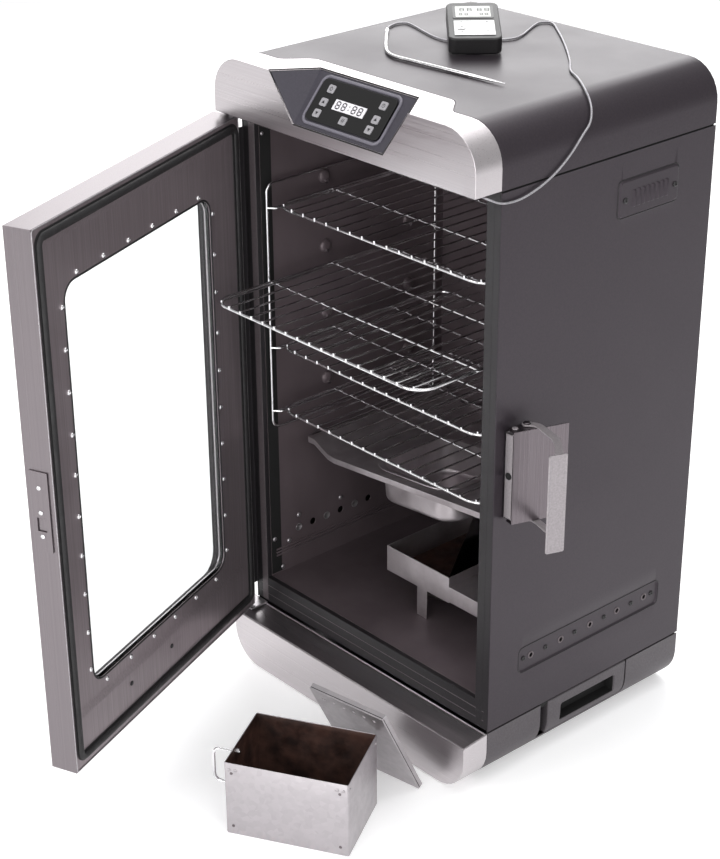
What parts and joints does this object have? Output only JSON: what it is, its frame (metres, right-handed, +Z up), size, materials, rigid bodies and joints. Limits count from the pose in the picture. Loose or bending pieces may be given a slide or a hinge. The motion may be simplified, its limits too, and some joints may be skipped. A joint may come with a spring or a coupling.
{
  "type": "electric cabinet smoker",
  "caption": "Upright electric smoking cabinet with a hinged glass door, sliding wire racks, drip and water pans, sloped key panel, side latch, chip box and a remote probe display.",
  "frame": {"origin": "on the ground under the centre of the cabinet, without the open door, the chip box and its lid", "axes": "+X to the right seen from the front, +Y to the back, +Z up"},
  "size_m": [0.5542, 0.7983, 0.8735],
  "materials": {
    "shell_paint": "satin charcoal",
    "dark_paint": "satin black",
    "bright_steel": "fine brushed",
    "black_plastic": "fine texture",
    "rubber": "matte",
    "grey_plastic": "satin",
    "gloss_black": "gloss",
    "display": "gloss",
    "key_plastic": "satin",
    "enamel": "dark enamel",
    "wool": "mineral wool",
    "chrome_wire": "bright plated wire",
    "tray_steel": "plain sheet",
    "board": "circuit board",
    "glass": "clear tempered",
    "white_silicone": "matte white",
    "braided_lead": "braided sleeve"
  },
  "bodies": {
    "cabinet": {"hood": "shell_paint", "side_panel_left": "shell_paint", "side_panel_right": "shell_paint", "back_panel": "shell_paint", "base_shell": "dark_paint", "base_handle_left": "black_plastic", "base_handle_right": "black_plastic", "foot_front_left": "rubber", "foot_front_right": "rubber", "foot_rear_left": "rubber", "foot_rear_right": "rubber", "top_bezel": "bright_steel", "bottom_bezel": "bright_steel", "control_housing": "grey_plastic", "display_membrane": "gloss_black", "display_lens": "display", "front_frame": "dark_paint", "inner_liner": "enamel", "insulation_jacket": "wool", "rack_support_left": "chrome_wire", "rack_support_right": "chrome_wire", "heater_element": "dark_paint", "chip_tray": "tray_steel", "control_board": "board", "power_inlet": "black_plastic", "upper_hinge_bracket": "bright_steel", "lower_hinge_bracket": "bright_steel", "latch_bracket": "bright_steel", "probe_rod": "chrome_wire", "probe_lead": "braided_lead", "probe_socket": "bright_steel"},
    "door": {"door_frame": "bright_steel", "door_liner": "enamel", "window_frame": "dark_paint", "window_glass": "glass", "door_gasket": "rubber", "striker_plate": "bright_steel", "hinge_knuckle_upper": "bright_steel", "hinge_knuckle_lower": "bright_steel"},
    "rack_1_body": {"rack_1": "chrome_wire"},
    "rack_2_body": {"rack_2": "chrome_wire"},
    "rack_3_body": {"rack_3": "chrome_wire"},
    "rack_4_body": {"rack_4": "chrome_wire"},
    "drip_pan_body": {"drip_pan": "tray_steel"},
    "water_pan_body": {"water_pan": "tray_steel"},
    "latch_catch_body": {"latch_catch": "bright_steel"},
    "latch": {"latch_handle": "bright_steel"},
    "chip_box_body": {"chip_box": "tray_steel", "chip_box_handle": "chrome_wire"},
    "chip_box_lid_body": {"chip_box_lid": "tray_steel"},
    "remote": {"remote_housing": "black_plastic", "remote_keypad": "white_silicone", "remote_clip": "black_plastic"},
    "key_1_body": {"panel_key_1": "key_plastic"},
    "key_2_body": {"panel_key_2": "key_plastic"},
    "key_3_body": {"panel_key_3": "key_plastic"},
    "key_4_body": {"panel_key_4": "key_plastic"},
    "key_5_body": {"panel_key_5": "key_plastic"},
    "key_6_body": {"panel_key_6": "key_plastic"},
    "key_7_body": {"panel_key_7": "key_plastic"}
  },
  "joints": [
    {"name": "door_hinge", "type": "hinge", "parent": "cabinet", "child": "door", "pos_m": [-0.223, -0.1777, 0.42], "axis": [0, 0, -1], "range_deg": [-67.8, 52]},
    {"name": "rack_2_slide", "type": "slide", "parent": "cabinet", "child": "rack_2_body", "axis": [0, -1, 0], "range_m": [-0.1021, 0.0783]},
    {"name": "chip_box_slide", "type": "slide", "parent": "cabinet", "child": "chip_box_body", "axis": [-1, 0, 0], "range_m": [-0.3105, 0.2383]},
    {"name": "chip_box_lid_lift", "type": "slide", "parent": "chip_box_body", "child": "chip_box_lid_body", "axis": [0, 0, 1], "range_m": [0, 0.08]},
    {"name": "rack_1_slide", "type": "slide", "parent": "cabinet", "child": "rack_1_body", "axis": [0, -1, 0], "range_m": [0, 0.095]},
    {"name": "rack_3_slide", "type": "slide", "parent": "cabinet", "child": "rack_3_body", "axis": [0, -1, 0], "range_m": [0, 0.095]},
    {"name": "rack_4_slide", "type": "slide", "parent": "cabinet", "child": "rack_4_body", "axis": [0, -1, 0], "range_m": [0, 0.095]},
    {"name": "drip_pan_slide", "type": "slide", "parent": "cabinet", "child": "drip_pan_body", "axis": [0, -1, 0], "range_m": [0, 0.05]},
    {"name": "water_pan_lift", "type": "slide", "parent": "drip_pan_body", "child": "water_pan_body", "axis": [-0.0945, 0, 0.9955], "range_m": [0, 0.03]},
    {"name": "latch_catch_hinge", "type": "hinge", "parent": "cabinet", "child": "latch_catch_body", "pos_m": [0.2304, -0.1334, 0.426], "axis": [0, 0, 1], "range_deg": [0, 10]},
    {"name": "latch_handle_hinge", "type": "hinge", "parent": "latch_catch_body", "child": "latch", "pos_m": [0.2325, -0.117, 0.426], "axis": [0, 0, 1], "range_deg": [0, 50]},
    {"name": "remote_lift", "type": "slide", "parent": "cabinet", "child": "remote", "axis": [0, 0, 1], "range_m": [0, 0.05]},
    {"name": "panel_key_1_press", "type": "slide", "parent": "cabinet", "child": "key_1_body", "axis": [0, 0.7526, -0.6585], "range_m": [0, 0.0008], "stiffness_N_per_m": 200},
    {"name": "panel_key_2_press", "type": "slide", "parent": "cabinet", "child": "key_2_body", "axis": [0, 0.7526, -0.6585], "range_m": [0, 0.0008], "stiffness_N_per_m": 200},
    {"name": "panel_key_3_press", "type": "slide", "parent": "cabinet", "child": "key_3_body", "axis": [0, 0.7526, -0.6585], "range_m": [0, 0.0008], "stiffness_N_per_m": 200},
    {"name": "panel_key_4_press", "type": "slide", "parent": "cabinet", "child": "key_4_body", "axis": [0, 0.7526, -0.6585], "range_m": [0, 0.0008], "stiffness_N_per_m": 200},
    {"name": "panel_key_5_press", "type": "slide", "parent": "cabinet", "child": "key_5_body", "axis": [0, 0.7526, -0.6585], "range_m": [0, 0.0008], "stiffness_N_per_m": 200},
    {"name": "panel_key_6_press", "type": "slide", "parent": "cabinet", "child": "key_6_body", "axis": [0, 0.7526, -0.6585], "range_m": [0, 0.0008], "stiffness_N_per_m": 200},
    {"name": "panel_key_7_press", "type": "slide", "parent": "cabinet", "child": "key_7_body", "axis": [0, 0.7526, -0.6585], "range_m": [0, 0.0008], "stiffness_N_per_m": 200}
  ],
  "couplings": [
    {"joint": "rack_2_slide", "follows": "door_hinge", "m_per_rad": 0.0862},
    {"joint": "chip_box_slide", "follows": "door_hinge", "m_per_rad": 0.262}
  ]
}
